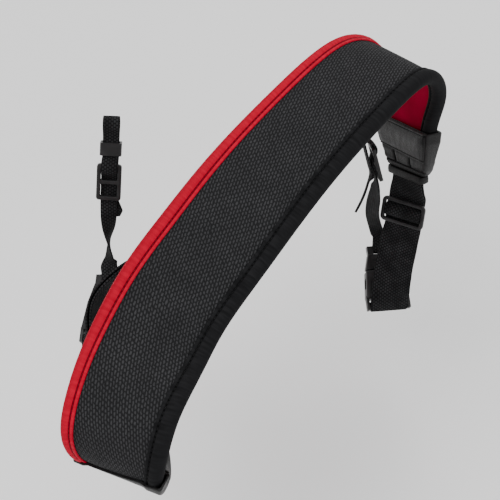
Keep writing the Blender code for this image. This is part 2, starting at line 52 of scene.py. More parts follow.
PAD_WIDTH = 66.0
PAD_END_SHARE = 0.87
PAD_TAPER = 60.0
FACE_THICK = 2.4
LINING_THICK = 2.4
BINDING_WALL = 1.1
RED_BAND = 9.0
BLACK_BAND = 11.0
PAD_EDGE_INSET = 2.5

TAB_LENGTH = 26.0
TAB_OVERLAP = {"left": 26.0, "right": 7.5}
TAB_WALL = 1.5
TAB_END_WIDTH = 33.0
PATCH_LENGTH = 13.0
PATCH_WALL = 1.1
KEEPER_LENGTH = 5.0

WIDE_WEBBING = 25.0
WIDE_THICK = 1.6
NARROW_WEBBING = 10.0
NARROW_THICK = 1.3

SLIDE_WIDTH = 30.5
SLIDE_LENGTH = 17.0
SLIDE_THICK = 2.4
SLIDE_RAIL = 2.5
SLIDE_FROM_TAB = 25.0

BUCKLE_LENGTH = 40.0
BUCKLE_THICK = 8.0
BAR_RADIUS = 1.5
NARROW_BAR_RADIUS = 1.3
BAR_OUT = 1.7

ADJUSTER_WIDTH = 15.0
ADJUSTER_LENGTH = 23.0
ADJUSTER_THICK = 2.2
ADJUSTER_RAIL = 2.4
LOOP_LENGTH = 8.0
LUG_EYE_RADIUS = 4.0

# How far out from their runs the webbing's layers, the slides and the adjusters lie.
WIDE_INNER = 0.3
WIDE_FRONT = WIDE_INNER - WIDE_THICK - 2 * GAP
SLIDE_PLANE = WIDE_FRONT - WIDE_THICK / 2 - 2 * GAP - SLIDE_THICK / 2
NARROW_BEHIND = 1.0
NARROW_FRONT = -NARROW_BEHIND
ADJUSTER_PLANE = NARROW_FRONT - NARROW_THICK / 2 - 2 * GAP - ADJUSTER_THICK / 2

# Sizes of the dressed surface alone. A hem lies flat inside each binding's seam, and under it lies the panel.
HEM = 2.5
HEM_TOP = FACE_THICK + 1.5 * GAP
PANEL_CROWN = 0.55
LOBE_RISE = 1.75

# The left tab's mouth starts later at the red edge than at the black one. Both tabs hug the panel there.
LATE_START = 9.0
TAB_HUG = 1.05
TAB_PUFF = 0.75
TAB_CORNER = 1.9
TAB_SEAM_SHARES = (-0.42, 0.30)
TAB_SEAM_WIDTH = 0.8
TAB_END_SEAM = TAB_LENGTH - 3.8
TAB_END_SEAM_WIDTH = 0.6
PATCH_FOLD = 0.75
PATCH_PUFF = 0.6
PATCH_SEAM = 1.6
PATCH_SEAM_WIDTH = 0.45
KEEPER_CORNER = 2.4
KEEPER_DROP = 0.8

# The spacing of a route's points where it is flat and of a webbing's rings, and the angle of sharp edges.
ROUTE_STEP = 4.5
RING_STEP = 1.1
SOFT_ANGLE = math.radians(35)

# A place on a run, in millimetres, and the across direction there, in degrees: its turn from +X, seen from
# above, and its rise from the level.
Place = namedtuple("Place", "x y z turn rise")

LEFT_WEBBING = (
    Place(-108, -41, -115, -9, 15),
    Place(-107, -52, -123, -10, 17),
    Place(-106, -65, -126, -15, 24),
    Place(-107, -75, -119, -22, 34),
    Place(-110, -75, -108, -38, 46),
    Place(-114, -64, -100, -60, 55),
    Place(-114, -50, -94, -88, 60),
    Place(-110, -36, -87, -113, 60),
    Place(-100, -26, -78, -114, 61),
    Place(-86, -19, -70, -103, 64),
    Place(-72, -19, -64, -78, 68),
    Place(-63, -34, -65, -51, 66),
    Place(-63, -57, -71, -33, 61),
    Place(-69, -87, -78, -29, 54),
    Place(-77, -113, -83, -29, 47),
)
PAD = (
    Place(-85, -142, -92, -35, 23),
    Place(-89, -155, -82, -33, 17),
    Place(-91, -157, -65, -26, 10),
    Place(-86, -143, -41, -22, 6),
    Place(-73, -112, -29, -20, -11),
    Place(-60, -88, -19, -25, -22),
    Place(-41, -59, -11, -28, -24),
    Place(-20, -28, -4, -33, -17),
    Place(0, -1, 2.5, -37, -9),
    Place(23, 27, 9, -40, -4),
    Place(46, 54, 13, -40, 0),
    Place(67, 79, 6, -41, 6),
    Place(84, 94, -28, -56, 14),
    Place(84, 84, -62, -60, 27),
)
RIGHT_WEBBING = (
    Place(86, 73, -89, -48, 12),
    Place(85, 62, -114, -30, 6),
    Place(78, 40, -151, -12, 0),
    Place(76, 27, -170, 5, -7),
)
LEFT_STRAND = (
    Place(-104, -2, -104, -9, 15),
    Place(-105, 8, -82, -86, 31),
    Place(-104, 15, -66, -158, 6),
    Place(-103, 22, -53, 180, 0),
    Place(-102, 29, -40, 180, 0),
    Place(-101, 36, -29, 180, 0),
    Place(-100, 47, -11, 180, 0),
)
LEFT_TAIL = (
    Place(-103, 22, -57, 180, 0),
    Place(-101, 20, -62, 178, 0),
    Place(-99, 19, -69, 174, 0),
)
RIGHT_STRAND = (
    Place(71, 65, -156, 0, 0),
    Place(68, 68, -143, -21, 24),
    Place(63.5, 63, -121, -43, 39),
    Place(62, 55, -97, -56, 45),
    Place(61, 50, -71, -79, 50),
    Place(57, 56, -55, -90, 50),
    Place(50, 63, -41, -90, 46),
    Place(36, 65, -27, -90, 22),
    Place(17, 64, -11, -90, 0),
)
RIGHT_TAIL = (
    Place(57, 45, -67, -90, 50),
    Place(54, 38, -72, -90, 50),
    Place(49, 30, -78, -90, 50),
)


# Runs, as in the CAD part.


def heading(turn, rise):
    """The unit vector at these angles, in degrees."""
    turn, rise = math.radians(turn), math.radians(rise)
    return (math.cos(rise) * math.cos(turn), math.cos(rise) * math.sin(turn), math.sin(rise))


def unit(vectors):
    """Each vector at a length of one."""
    return vectors / np.linalg.norm(vectors, axis=-1, keepdims=True)


def travelled(points):
    """The distance along a line of points, at each of them."""
    return np.concatenate([[0], np.cumsum(np.linalg.norm(np.diff(points, axis=0), axis=1))])


class Spline:
    """A natural cubic curve through values at knots."""

    def __init__(self, knots, values):
        self.knots, self.values = np.asarray(knots, float), np.asarray(values, float)
        count, gap = len(knots), np.diff(knots)
        slopes = np.diff(self.values, axis=0) / gap[:, None]
        system, right = np.eye(count), np.zeros_like(self.values)
        for i in range(1, count - 1):
            system[i, i - 1 : i + 2] = gap[i - 1], 2 * (gap[i - 1] + gap[i]), gap[i]
            right[i] = 6 * (slopes[i] - slopes[i - 1])
        self.bends = np.linalg.solve(system, right)

    def __call__(self, at):
        at = np.atleast_1d(np.asarray(at, float))
        i = np.clip(np.searchsorted(self.knots, at) - 1, 0, len(self.knots) - 2)
        gap = (self.knots[i + 1] - self.knots[i])[:, None]
        b = (at[:, None] - self.knots[i][:, None]) / gap
        a = 1 - b
        low, high = self.values[i], self.values[i + 1]
        bend = (a**3 - a) * self.bends[i] + (b**3 - b) * self.bends[i + 1]
        return a * low + b * high + bend * gap**2 / 6


class Run:
    """A smooth line through places, read by the distance along it, in millimetres."""

    SAMPLES = 1200
    NUDGE = 0.5
    EASE = 6.0

    def __init__(self, places):
        points = np.array([(p.x, p.y, p.z) for p in places], float)
        across = np.array([heading(p.turn, p.rise) for p in places])
        knots = travelled(points)
        self.place, self.across = Spline(knots, points), Spline(knots, across)
        self.fine = np.linspace(0, knots[-1], self.SAMPLES)
        self.distances = travelled(self.place(self.fine))
        self.rows = np.interp(knots, self.fine, self.distances)
        self.length = self.distances[-1]
        self.holds = []

    def hold(self, distance, half_length, across=None, place=None):
        """Keeps the run straight and untwisted beside a hard piece, and square to it."""
        own_place, along, own, _ = (each[0] for each in self.frames(distance))
        place = own_place if place is None else place
        if across is None:
            across = unit(own - (own @ along) * along)
        else:
            along = unit(along - (along @ across) * across)
        self.holds.append((distance, half_length, place, along, across))

    def frames(self, distances):
        """Arrays of places and of the along, across and out directions. Past an end it goes straight on."""
        distances = np.atleast_1d(np.asarray(distances, float))
        inside = np.clip(distances, 0, self.length)
        at = np.interp(inside, self.distances, self.fine)
        ahead = self.place(np.minimum(at + self.NUDGE, self.fine[-1]))
        behind = self.place(np.maximum(at - self.NUDGE, 0))
        along = unit(ahead - behind)
        across = unit(self.across(at))
        place = self.place(at) + along * (distances - inside)[:, None]
        for middle, half, held, way, over in self.holds:
            near = np.clip((half + self.EASE - np.abs(distances - middle)) / self.EASE, 0, 1)
            near = (near * near * (3 - 2 * near))[:, None]
            place = place * (1 - near) + (held + way * (distances - middle)[:, None]) * near
            along = unit(along * (1 - near) + way * near)
            across = unit(across * (1 - near) + over * near)
        return place, along, across, unit(np.cross(across, along))

    def matrix(self, distance, out=0.0):
        """Local X across, Y along and Z out, with the origin on the run, in metres."""
        place, along, _, outward = (each[0] for each in self.frames(distance))
        return square_matrix(place + out * outward, along, outward)


def square_matrix(place, along, out):
    """A frame at a place in millimetres: X across, Y along and Z out."""
    columns = np.eye(4)
    columns[:3, 0], columns[:3, 1], columns[:3, 2] = np.cross(along, out), along, out
    columns[:3, 3] = place * MM
    return Matrix(columns.tolist())


def pad_share(beyond):
    """The pad's width as a share of its full width, by how far beyond its end a place lies."""
    ease = min(1.0, max(0.0, -beyond / PAD_TAPER))
    return PAD_END_SHARE + (1 - PAD_END_SHARE) * math.sin(ease * math.pi / 2)


def past_pad(beyond):
    """How far down the tab a place lies, from 0 at the band's end to 1 at the tab's."""
    return min(1.0, max(0.0, beyond / TAB_LENGTH))


def tab_half_width(beyond):
    wide = PAD_WIDTH / 2 * pad_share(beyond) + 2 * GAP + TAB_WALL
    return wide + (TAB_END_WIDTH / 2 - wide) * past_pad(beyond) ** 1.15


def tab_half_height(beyond):
    thick = FACE_THICK + 1.5 * GAP + BINDING_WALL + GAP + TAB_WALL
    thin = WIDE_THICK / 2 + 2 * GAP + TAB_WALL
    return thick + (thin - thick) * past_pad(beyond)


def arc_route(centre, radius, start, stop, steps):
    """Points round a bar across the run, by the angle from along towards out, in degrees."""
    angles = np.radians(np.linspace(start, stop, steps))
    return [(centre[0] + radius * math.cos(a), centre[1] + radius * math.sin(a)) for a in angles]


def flat_route(first, last, out):
    """Points at an even height, at the whole steps of the run between two distances, and at the first one, so
    that layers over one another have their points in line."""
    low, high = sorted((first, last))
    steps = range(math.ceil((low + 1.0) / ROUTE_STEP), math.floor((high - 1.0) / ROUTE_STEP) + 1)
    whole = [k * ROUTE_STEP for k in steps]
    return [(at, out) for at in [first] + (whole if first < last else whole[::-1])]


def beside(run, route):
    """The places of a route of (along, out) points on a run, and the directions square over the run there."""
    route = np.array(route, float)
    place, along, _, out = run.frames(route[:, 0])
    return place + out * route[:, 1:2], np.cross(along, out)


# Meshes from rings of points. The UV map holds the distance along a run and the place across it or round it.


def placed(name, data):
    """A new object in the scene."""
    made = bpy.data.objects.new(name, data)
    bpy.context.scene.collection.objects.link(made)
    return made


def dressed(name, mesh, node):
    """A piece of the strap, which stands for a CAD node."""
    made = placed(name, mesh)
    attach(made, "root")
    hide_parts(node)
    return made


def raw_mesh(name, points, faces, edges=()):
    mesh = bpy.data.meshes.new(name)
    mesh.from_pydata(points, edges, faces)
    return mesh


def coated(mesh, finish, sharp=None):
    """Gives a mesh its finish, smooth but for edges sharper than an angle in degrees."""
    mesh.materials.clear()
    mesh.materials.append(FINISHES[finish])
    mesh.shade_smooth()
    if sharp:
        mesh.set_sharp_from_angle(angle=math.radians(sharp))


def signed_volume(points, quads):
    """Positive where the quads face out."""
    a, b, c, d = (points[np.array(quads)[:, i]] for i in range(4))
    return np.sum(a * np.cross(b, c)) + np.sum(a * np.cross(c, d))


def tube(name, rings, along, over, finish, node, joined=False):
    """A closed mesh through rings of points, capped at its ends or joined up, the last ring with the first.
    over is the place of each point across the run or round the ring."""
    turns, count = rings.shape[:2]
    points, over_next = rings.reshape(-1, 3) * MM, np.roll(over, -1)
    if joined:
        over_next[-1] = over[-1] + 1.0
    faces, corners = [], []
    for k in range(turns if joined else turns - 1):
        n = (k + 1) % turns
        for i in range(count):
            j, sides = (i + 1) % count, (over[i], over_next[i])
            faces.append((k * count + i, k * count + j, n * count + j, n * count + i))
            corners.append([(along[k], side) for side in sides] + [(along[n], side) for side in sides[::-1]])
    inside_out = signed_volume(points, faces) < 0
    if not joined:
        faces += [tuple(reversed(range(count))), tuple(range((turns - 1) * count, turns * count))]
        corners += [[(along[0], side) for side in over[::-1]], [(along[-1], side) for side in over]]
    if inside_out:
        faces, corners = [face[::-1] for face in faces], [places[::-1] for places in corners]
    mesh = raw_mesh(name, points.tolist(), faces)
    uvs = np.array([place for places in corners for place in places]) * MM
    mesh.uv_layers.new(name="strap").data.foreach_set("uv", uvs.ravel())
    coated(mesh, finish, 60 if joined else 50)
    return dressed(name, mesh, node)


def rings_along(run, distances, outlines):
    """Rings of points beside a run, from an outline of (across, out) places for each distance."""
    place, _, across, out = run.frames(distances)
    return place[:, None] + outlines[..., :1] * across[:, None] + outlines[..., 1:] * out[:, None]


def swept(name, run, distances, outlines, finish, node):
    """A closed mesh along a run."""
    rings = rings_along(run, distances, outlines)
    return tube(name, rings, distances, outlines[len(outlines) // 2][:, 0], finish, node)


def sleeve(name, rings, along, outline, node):
    """A leather mesh that joins up. outline is one of its rings, laid flat."""
    return tube(name, rings, along, travelled(outline), "leather", node, joined=True)


def ease(value, low, high):
    """A smooth climb from 0 at low to 1 at high."""
    share = np.clip((value - low) / (high - low), 0, 1)
    return share * share * (3 - 2 * share)


def dip(value, middle, width):
    """A smooth bell of height 1 round a middle."""
    return np.exp(-(((value - middle) / width) ** 2))


def wander(at, seed):
    """A smooth wavering between about -1 and 1 along a distance in millimetres."""
    total = 0.0
    for k, (period, share) in enumerate(((7.3, 0.4), (4.1, 0.35), (2.7, 0.25))):
        drift = 1.9 * np.sin(at / (31.0 + 9 * k))
        total += share * np.sin(2 * math.pi * at / period + seed * (k + 1.7) + drift)
    return total


# The padded band.


def layer_outline(side, thick):
    """A layer's outline: its outer face crowns between the hems and sinks under them."""
    edge = PAD_WIDTH / 2 - PAD_EDGE_INSET
    red, black = RED_BAND - PAD_WIDTH / 2, PAD_WIDTH / 2 - BLACK_BAND
    a = np.concatenate([[-edge], np.linspace(red - 1.0, black + 1.0, 44), [edge]])
    middle, half = (red + black) / 2, (black - red) / 2
    crown = PANEL_CROWN * np.clip(1 - ((a - middle) / half) ** 2, 0, 1) ** 0.5
    face = np.column_stack([a, side * (GAP / 2 + thick + crown)])
    return np.vstack([face, [(edge, side * GAP / 2), (-edge, side * GAP / 2)]])


def binding_outline(band, side):
    """A bound edge: a flat hem, a stitched groove, a puffed lobe round the edge, and the same underneath. It
    also says how many of its points show."""
    nose, half = PAD_WIDTH / 2, PAD_WIDTH / 2 - band
    groove = half + HEM
    crest, high = (groove + nose) / 2 - 0.4, HEM_TOP + LOBE_RISE
    rises = [(half, 0.15), (half + 0.15, 0.7), (half + 0.6, 0.95), (groove - 0.9, 0.95), (groove - 0.45, 0.7)]
    rises += [(groove, 0.32), (groove + 0.4, 0.62), (groove + 1.0, 1.15), (groove + 1.9, 1.55)]
    top = [(a, HEM_TOP + rise) for a, rise in rises + [(crest, LOBE_RISE)]]
    turn = np.radians(np.linspace(75, 0, 7))
    top += [(crest + (nose - crest) * math.cos(t), high * math.sin(t)) for t in turn]
    under = [(a, -o) for a, o in top[-2::-1]]
    slot = nose - PAD_EDGE_INSET + 2 * GAP
    inside = [(half, -HEM_TOP), (slot, -HEM_TOP), (slot, HEM_TOP), (half, HEM_TOP)]
    return np.array(top + under + inside) * (side, 1), len(top + under)


def pad_pieces(run, start, stop):
    """The woven panel, the lining, and the two bindings with small puckers."""
    rows = np.linspace(start + 0.5, stop - 0.5, 500)
    beyond = np.maximum(start + 0.5 - rows, rows - stop + 0.5)
    shares = np.array([pad_share(at) for at in beyond])
    for node, side, thick, finish, slot in (
        ("top_panel", 1, FACE_THICK, "fabric", "textured_fabric"),
        ("lining", -1, LINING_THICK, "lining", "red_lining"),
    ):
        outlines = np.repeat(layer_outline(side, thick)[None], len(rows), axis=0)
        outlines[..., 0] *= shares[:, None]
        piece = swept(f"{node}_cloth", run, rows, outlines, finish, node)
    for node, side, band, finish, pucker, seed in (
        ("red_binding", -1, RED_BAND, "red", 0.06, 0.3),
        ("black_binding", 1, BLACK_BAND, "black", 0.02, 2.1),
    ):
        outline, shown = binding_outline(band, side)
        outlines = np.repeat(outline[None], len(rows), axis=0)
        lobe = ease(np.abs(outline[:, 0]) - (PAD_WIDTH / 2 - band), 2.9, 5.0)
        lobe[shown:] = 0
        outlines[..., 1] += pucker * wander(rows, seed)[:, None] * lobe * np.sign(outline[:, 1])
        outlines[..., 0] *= shares[:, None]
        piece = swept(f"{node}_cloth", run, rows, outlines, finish, node)


# The leather tabs.


def round_box(half_width, half_height, corner, columns=30, steps=4):
    """An outline of a box with round corners, from its inner face's low end round to its sides."""
    w, h, c = half_width, half_height, min(corner, half_height - 0.05)
    points = []
    for x, y, low in ((w - c, c - h, -90), (w - c, h - c, 0), (c - w, h - c, 90), (c - w, c - h, 180)):
        for angle in np.radians(np.linspace(low, low + 90, steps)):
            points.append((x + c * math.cos(angle), y + c * math.sin(angle)))
    low = [(a, -h) for a in np.linspace(c - w, w - c, columns)[1:-1]]
    high = [(a, h) for a in np.linspace(w - c, c - w, columns)[1:-1]]
    return np.array(low + points[: 2 * steps] + high + points[2 * steps :])


def hug(outline, at, overlap):
    """How far the sleeve's outer side sinks towards the panel, between the bindings and near its mouth."""
    red, black, blend, mouth = -24.5, 22.0, 2.5, 3.0
    a, o = outline.T
    between = ease(a, red, red + blend) * (1 - ease(a, black - blend, black)) * (o > 0)
    return TAB_HUG * between * (1 - ease(at + overlap, mouth, 0.8 * overlap))


def tab_outer(at, overlap):
    """The sleeve's outline at a distance beyond the band's end, with sewn panels, and how deep in a seam each
    point lies."""
    width, height = tab_half_width(at), tab_half_height(at)
    outline = round_box(width, height, TAB_CORNER)
    a = outline[:, 0]
    faces = ease(np.abs(outline[:, 1]), height - 0.6, height - 0.1)
    seams = sum(dip(a, width * share, TAB_SEAM_WIDTH) for share in TAB_SEAM_SHARES)
    end_seam = dip(at, TAB_END_SEAM, TAB_END_SEAM_WIDTH)
    left = TAB_LENGTH - at
    panel = ease(at, PATCH_LENGTH, PATCH_LENGTH + 2.5) * ease(left, 3.4, 5.0)
    lip = 0.35 * (1 - ease(left, 2.8, 3.6))
    relief = -hug(outline, at, overlap) + TAB_PUFF * panel * (1 - 1.5 * seams) - 0.6 * end_seam + lip
    tuck = 0.9 * (1 - ease(min(at + overlap, left), 0, 0.9))
    outline *= 1 - tuck / np.array([width, height * 3])
    outline[:, 1] += np.sign(outline[:, 1]) * relief * faces
    return outline, np.clip(panel * seams + end_seam, 0, 1) * faces


def tab_inner(at, overlap):
    """The bore's outline at a distance beyond the band's end."""
    outline = round_box(tab_half_width(at) - TAB_WALL, tab_half_height(at) - TAB_WALL, 0.9)
    outline[:, 1] -= hug(outline, at, overlap)
    return outline


def tab_mesh(side, run, edge, way):
    """The sleeve is one surface: out along its outside, in along its bore, and joined up at its mouth."""
    overlap = TAB_OVERLAP[side]
    beyond = np.linspace(0.1 - overlap, TAB_LENGTH, 90)
    back = np.append(beyond[::-5], beyond[0] + 0.25)
    outer, sewn = (np.array(each) for each in zip(*(tab_outer(at, overlap) for at in beyond)))
    inner = np.array([tab_inner(at, overlap) for at in back])
    outlines = np.concatenate([outer, outer[-1:] * 0.97, outer[-1:] * 0.93, inner])
    beyond = np.concatenate([beyond, [TAB_LENGTH - 0.15, TAB_LENGTH - 0.9], back])
    distances = edge + way * beyond
    seams = np.zeros(outlines.shape[:2])
    seams[: len(sewn)] = sewn
    beyond = np.repeat((way * (distances - edge))[:, None], outlines.shape[1], axis=1)
    if side == "left":
        later = LATE_START * (0.5 - outlines[..., 0] / PAD_WIDTH).clip(0, 1)
        beyond = np.where(beyond < 0, beyond * (1 - later / overlap), beyond)
    rings = rings_along(run, edge + way * beyond.ravel(), outlines.reshape(-1, 1, 2))
    name = f"leather_tab_{side}"
    made = sleeve(f"{name}_hide", rings.reshape(*outlines.shape[:2], 3), distances, outlines[10], name)
    mark(made, seams)


def mark(piece, seams):
    """How deep in a sewn seam each vertex lies, for the leather's shader, which darkens the seams with
    painted shade.
    """
    layer = piece.data.attributes.new("seam", "FLOAT", "POINT")
    layer.data.foreach_set("value", np.asarray(seams, float).ravel())


def patch_mesh(side, run, edge, way):
    """The bare name patch: a leather panel with a turned edge, on the tab's inner face."""
    start, stop = 0.4 - TAB_OVERLAP[side], PATCH_LENGTH
    flat = np.linspace(start + 0.7, stop - 0.7, 40)
    beyond = np.concatenate([[start, start + 0.25], flat, [stop - 0.25, stop]])
    outlines, sewn = [], []
    for at in beyond:
        width, high = tab_half_width(at) - 1.4, -tab_half_height(at) - GAP
        a = np.linspace(-width, width, 50)
        from_end, from_side = min(at - start, stop - at), width - np.abs(a)
        drop = np.maximum(1 - ease(from_side, -0.1, 0.9), 1 - ease(from_end, -0.1, 0.75))
        puff = PATCH_PUFF * ease(from_side, 1.4, 6.0) * ease(from_end, 1.4, 5.0)
        stitched = np.maximum(*(dip(off, PATCH_SEAM, PATCH_SEAM_WIDTH) for off in (from_side, from_end)))
        face = high - PATCH_WALL - puff + 0.35 * stitched + PATCH_FOLD * drop
        sewn.append(np.append(0.7 * stitched, [0, 0]))
        outlines.append(np.vstack([np.column_stack([a, face]), [(width, high), (-width, high)]]))
    name = f"tab_patch_{side}"
    made = swept(f"{name}_hide", run, edge + way * beyond, np.array(outlines), "leather", name)
    mark(made, sewn)


def keeper_mesh(side, run, edge, way):
    """The leather keeper: a flat band with a round fold at each end."""
    half_height = WIDE_THICK + 2 * GAP + TAB_WALL
    half_width = (TAB_END_WIDTH - 1.0) / 2
    swells = ((-0.5, -0.5), (-0.47, -0.2), (-0.4, 0.0), (0.0, 0.12), (0.4, 0.0), (0.47, -0.2), (0.5, -0.5))
    outer = [round_box(half_width + swell, half_height + swell, KEEPER_CORNER) for _, swell in swells]
    inner = [round_box(half_width - TAB_WALL, half_height - TAB_WALL, 0.6)] * 3
    outlines = np.array(outer + inner)
    shares = np.array([share for share, _ in swells] + [0.47, 0.0, -0.47])
    distances = edge + way * (TAB_LENGTH + GAP + KEEPER_LENGTH / 2 + shares * KEEPER_LENGTH)
    rings = rings_along(run, distances, outlines - (0, KEEPER_DROP))
    name = f"keeper_band_{side}"
    sleeve(f"{name}_hide", rings, distances, outlines[0], name)


# Webbing.


def rounded(knots, values, at):
    """Hermite curves with each slope from the points beside it, so that a bend stays local."""
    slopes = np.gradient(values, knots, axis=0)
    i = np.clip(np.searchsorted(knots, at, side="right") - 1, 0, len(knots) - 2)
    gap = (knots[i + 1] - knots[i])[:, None]
    t = (at[:, None] - knots[i][:, None]) / gap
    a, b = 2 * t**3 - 3 * t**2 + 1, t**3 - 2 * t**2 + t
    c, d = 3 * t**2 - 2 * t**3, t**3 - t**2
    return a * values[i] + b * gap * slopes[i] + c * values[i + 1] + d * gap * slopes[i + 1]


def ribbon(name, middle, over, width, thick, node, tip=0.0):
    """Webbing: a flat strip with round, slightly full selvedges. Its last end can be cut to a point."""
    knots = travelled(middle)
    distances = np.linspace(0, knots[-1], max(8, int(knots[-1] / RING_STEP)))
    middle, over = rounded(knots, middle, distances), unit(rounded(knots, over, distances))
    up = unit(np.cross(over, np.gradient(middle, axis=0)))
    columns = np.array([-1, -0.965, -0.9, -0.6, 0, 0.6, 0.9, 0.965, 1.0])
    heights = np.array([0.35, 0.92, 0.9, 0.98, 1.0, 0.98, 0.9, 0.92, 0.35])
    a = np.concatenate([columns, columns[::-1]]) * width / 2
    o = np.concatenate([heights, -heights[::-1]]) * thick / 2
    left = distances[-1] - distances
    shares = np.where(left > tip, 1.0, 0.45 + 0.55 * left / tip) if tip else np.ones(len(left))
    shares *= 1 + 0.006 * np.sin(distances / 3.1)
    rings = middle[:, None] + (shares[:, None] * a)[..., None] * over[:, None] + o[:, None] * up[:, None]
    tube(name, rings, distances, a, "webbing", node)


def wide_webbing(side, run, tab, bar, way):
    """Sewn in the tab, once round the buckle's bar, over the slide's middle bar and into the keeper."""
    over_slide = SLIDE_PLANE - SLIDE_THICK / 2 - 1.5 * GAP - WIDE_THICK / 2
    slide = tab + way * SLIDE_FROM_TAB
    wrap = BAR_RADIUS + GAP + WIDE_THICK / 2
    in_tab, in_keeper, to_bar, to_slide, rail = 10.0, 3.5, 6.5, 9.0, SLIDE_RAIL / 2
    route = flat_route(tab - way * in_tab, bar - way * to_bar, WIDE_INNER)
    rise = ((to_bar, 0.0), (wrap + 1.4, 0.1), (wrap + 0.3, 0.7))
    route += [(bar - way * off, WIDE_INNER + out) for off, out in rise]
    turn = arc_route((0, BAR_OUT), wrap, 180, -90, 14)[1:]
    route += [(bar + way * along, out) for along, out in turn]
    route += [(bar - way * 4.0, WIDE_FRONT)]
    route += flat_route(bar - way * to_bar, slide + way * to_slide, WIDE_FRONT)
    climb = ((6.4, WIDE_FRONT), (5.6, WIDE_FRONT - 0.15), (rail + 0.3, over_slide + 0.1), (0.5, over_slide))
    route += [(slide + way * off, out) for off, out in climb]
    route += [(slide - way * off, out) for off, out in climb[::-1]]
    route += flat_route(slide - way * to_slide, tab, WIDE_FRONT)
    route += [(tab - way * in_keeper, WIDE_FRONT)]
    name = f"wide_webbing_{side}"
    ribbon(f"{name}_weave", *beside(run, route), WIDE_WEBBING, WIDE_THICK, name)


def lug_strand(side, run, tail, adjuster):
    """Sewn round the buckle's bar, over the adjuster, round the lug's eye and back behind to its free end."""
    behind, front = NARROW_BEHIND, NARROW_FRONT
    wrap = NARROW_BAR_RADIUS + GAP + NARROW_THICK / 2
    eye = run.length - LUG_EYE_RADIUS
    over = ADJUSTER_PLANE - ADJUSTER_THICK / 2 - GAP - NARROW_THICK / 2 - 0.1
    end = ADJUSTER_LENGTH / 2
    sewn = front - NARROW_THICK - GAP
    near_bar, at_bar, to_eye, at_eye = 8.5, 4.5, 8.0, 4.6
    route = [(13.0, sewn), (near_bar, sewn), (at_bar, -2.1)]
    route += arc_route((0.0, 0.0), wrap, -60, -300, 9)
    route += [(at_bar, 1.0), (near_bar, -0.2), (13.0, front)]
    route += flat_route(16.0, adjuster + 0.8, front)
    route += [(adjuster + 0.8, front), (adjuster + 2.6, front - 0.4)]
    route += [(adjuster + end + off, over + out) for off, out in ((-2.9, 0.1), (-1.0, 0.0), (1.0, 0.9))]
    route += flat_route(adjuster + end + 4.4, eye - to_eye, front)
    route += [(eye - to_eye, front), (eye - at_eye, front - 0.9)]
    route += arc_route((eye, 0.0), LUG_EYE_RADIUS, -115, 115, 16)
    route += [(eye - at_eye, behind + 0.9)]
    route += flat_route(eye - to_eye, adjuster - end + 1.0, behind)
    free = [(at, 0) for at in np.linspace(0, tail.length, 5)]
    middle, across = (np.vstack(pair) for pair in zip(beside(run, route), beside(tail, free)))
    name = f"narrow_webbing_{side}"
    ribbon(f"{name}_weave", middle, across, NARROW_WEBBING, NARROW_THICK, name, tip=3.5)


# Finishes. Each shared weave is a node group of the UV map. Lengths in this part are in metres.


class Net:
    """Small helper for building a node tree: each call adds a node and returns its output."""

    def __init__(self, tree):
        self.tree = tree

    def node(self, kind, **settings):
        made = self.tree.nodes.new(kind)
        for key, value in settings.items():
            setattr(made, key, value)
        return made

    def put(self, socket, value):
        """Links or sets a socket. A colour is three numbers."""
        if isinstance(value, bpy.types.NodeSocket):
            self.tree.links.new(value, socket)
        elif value is not None:
            socket.default_value = (*value, 1) if socket.type == "RGBA" else value

    def fed(self, kind, values, **settings):
        """The outputs of a node with its inputs linked or set, in order or by name or number."""
        made = self.node(kind, **settings)
        for key, value in values.items() if isinstance(values, dict) else enumerate(values):
            self.put(made.inputs[key], value)
        return made.outputs

    def sockets(self, way, kind, *names):
        """Opens inputs or outputs of the whole tree."""
        for name in names:
            self.tree.interface.new_socket(name, in_out=way, socket_type=f"NodeSocket{kind}")

    def math(self, operation, a, b=None):
        return self.fed("ShaderNodeMath", (a, b), operation=operation)[0]

    def add(self, a, b):
        return self.math("ADD", a, b)

    def less(self, a, b):
        return self.math("SUBTRACT", a, b)

    def times(self, a, b):
        return self.math("MULTIPLY", a, b)

    def over(self, a, b):
        return self.math("DIVIDE", a, b)

    def size(self, value):
        return self.math("ABSOLUTE", value)

    def wave(self, value, period):
        return self.math("SINE", self.times(value, 2 * math.pi / period))

    def arch(self, value, power):
        """Goes from 0 up to 1 and back over each whole step of a value, fuller at a low power."""
        return self.math("POWER", self.size(self.wave(value, 2)), power)

    def split(self, vector):
        """The distance along and the place across."""
        return self.fed("ShaderNodeSeparateXYZ", (vector,))[:2]

    def span(self, value, low, high, to_low=0.0, to_high=1.0):
        """A smooth climb or fall between two values."""
        values = value, low, high, to_low, to_high
        return self.fed("ShaderNodeMapRange", values, interpolation_type="SMOOTHSTEP")[0]

    def mix(self, share, a, b):
        return self.fed("ShaderNodeMix", {0: share, 6: a, 7: b}, data_type="RGBA")[2]

    def noise(self, vector, scale, detail=2.0, stretch=None):
        if stretch:
            vector = self.fed("ShaderNodeMapping", {"Vector": vector, "Scale": stretch})[0]
        return self.fed("ShaderNodeTexNoise", {"Vector": vector, "Scale": scale, "Detail": detail})[0]

    def bump(self, height, strength, distance, normal=None):
        values = {"Height": height, "Strength": strength, "Distance": distance, "Normal": normal}
        return self.fed("ShaderNodeBump", values)[0]


def weave_group(name, pattern):
    """A shader node group that takes a vector and gives a weave's height and shade."""
    net = Net(bpy.data.node_groups.new(name, "ShaderNodeTree"))
    net.sockets("INPUT", "Vector", "Vector")
    net.sockets("OUTPUT", "Float", "Height", "Shade")
    net.fed("NodeGroupOutput", pattern(net, net.node("NodeGroupInput").outputs[0]))
    return net.tree


